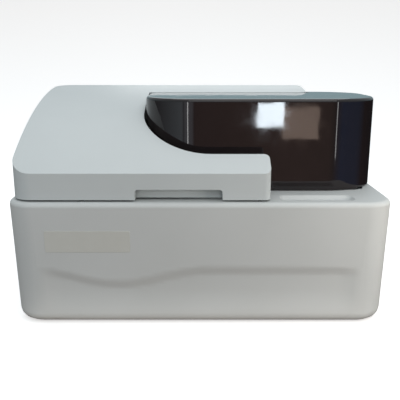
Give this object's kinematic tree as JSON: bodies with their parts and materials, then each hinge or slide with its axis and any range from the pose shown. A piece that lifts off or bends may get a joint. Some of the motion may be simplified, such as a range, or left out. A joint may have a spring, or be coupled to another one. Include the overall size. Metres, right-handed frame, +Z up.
{
  "type": "chemistry analyzer",
  "caption": "Bench-top clinical chemistry analyzer: light grey base with a wave across its front, arched hinged lid and a dark smoked cover over the sample carousel.",
  "frame": {"origin": "middle of the footprint, on the table under the feet", "axes": "+X to the operator's right, +Y to the back, +Z up"},
  "size_m": [0.8196, 0.5318, 0.494],
  "materials": {
    "casing": "fine-textured moulding, warm light grey",
    "lid_plastic": "fine-textured moulding, cool light grey",
    "smoked_acrylic": "polished dark smoked acrylic",
    "steel_sheet": "brushed sheet steel",
    "ground_steel": "ground shaft steel",
    "painted_deck": "light grey powder coat",
    "rubber": "black rubber",
    "white_plastic": "white moulding",
    "clear_plastic": "clear moulding",
    "dark_plastic": "black moulding",
    "dark_metal": "black painted metal",
    "aluminium": "bead-blasted aluminium",
    "circuit_board": "green solder resist"
  },
  "bodies": {
    "base": {"base_shell": "casing", "base_plate": "steel_sheet", "feet": "rubber", "work_deck": "painted_deck", "rear_tower": "casing", "rear_panel": "steel_sheet", "panel_screws": "ground_steel", "lid_hinge_brackets": "steel_sheet", "lid_hinge_pins": "ground_steel", "lid_bumpers": "rubber", "carousel_bowl": "aluminium", "carousel_bearing": "ground_steel", "carousel_motor": "dark_metal", "cooler_block": "aluminium", "incubator_bowl": "aluminium", "rotor_bearing": "ground_steel", "rotor_motor": "dark_metal", "arm_column": "aluminium", "arm_drive": "dark_metal", "wash_well": "white_plastic", "wash_post": "ground_steel", "photometer": "dark_metal", "lamp_house": "dark_metal", "syringe_block": "aluminium", "syringe_barrel": "clear_plastic", "power_supply": "steel_sheet", "main_board": "circuit_board", "board_posts": "ground_steel", "fluid_pump": "dark_metal", "fan_frame": "dark_plastic", "fan_guard": "ground_steel", "power_inlet": "dark_plastic", "switch_bezel": "dark_plastic", "data_port": "steel_sheet", "hose_barbs": "white_plastic"},
    "lid": {"lid_shell": "lid_plastic", "lid_knuckles": "steel_sheet", "cover_ears": "lid_plastic", "cover_hinge_pins": "ground_steel"},
    "cover": {"smoked_cover": "smoked_acrylic", "cover_lugs": "dark_plastic"},
    "carousel": {"carousel_tray": "white_plastic", "carousel_spindle": "ground_steel", "carousel_knob": "dark_plastic", "sample_tubes": "clear_plastic", "reagent_bottles": "white_plastic"},
    "rotor": {"reaction_rotor": "dark_metal", "cuvette_ring": "clear_plastic", "rotor_spindle": "ground_steel", "rotor_cap": "dark_plastic"},
    "lift": {"arm_shaft": "ground_steel"},
    "arm": {"probe_arm": "white_plastic", "probe_needle": "ground_steel"},
    "washer": {"wash_head": "dark_plastic", "wash_nozzles": "ground_steel"},
    "plunger": {"syringe_plunger": "dark_plastic"},
    "fan": {"fan_impeller": "dark_plastic"},
    "rocker": {"power_switch": "dark_plastic"}
  },
  "joints": [
    {"name": "lid_hinge", "type": "hinge", "parent": "base", "child": "lid", "pos_m": [-0.06, 0.239, 0.44], "axis": [-1, 0, 0], "range_deg": [0, 60]},
    {"name": "cover_hinge", "type": "hinge", "parent": "lid", "child": "cover", "pos_m": [0.105, 0.09, 0.469], "axis": [-1, 0, 0], "range_deg": [0, 55]},
    {"name": "carousel_spin", "type": "hinge", "parent": "base", "child": "carousel", "pos_m": [0.205, 0.02, 0.271], "axis": [0, 0, 1], "continuous": true},
    {"name": "rotor_spin", "type": "hinge", "parent": "base", "child": "rotor", "pos_m": [-0.19, 0.014, 0.271], "axis": [0, 0, 1], "continuous": true},
    {"name": "arm_lift", "type": "slide", "parent": "base", "child": "lift", "axis": [0, 0, 1], "range_m": [-0.055, 0]},
    {"name": "arm_swing", "type": "hinge", "parent": "lift", "child": "arm", "pos_m": [0, 0.039, 0.36], "axis": [0, 0, 1], "range_deg": [-52.5, 67.95]},
    {"name": "washer_lift", "type": "slide", "parent": "base", "child": "washer", "axis": [0, 0, 1], "range_m": [-0.025, 0]},
    {"name": "plunger_slide", "type": "slide", "parent": "base", "child": "plunger", "axis": [0, 0, 1], "range_m": [-0.03, 0]},
    {"name": "fan_spin", "type": "hinge", "parent": "base", "child": "fan", "pos_m": [0.235, 0.239, 0.14], "axis": [0, 1, 0], "continuous": true},
    {"name": "power_switch_rock", "type": "hinge", "parent": "base", "child": "rocker", "pos_m": [-0.17, 0.245, 0.112], "axis": [-1, 0, 0], "range_deg": [0, 16]}
  ]
}
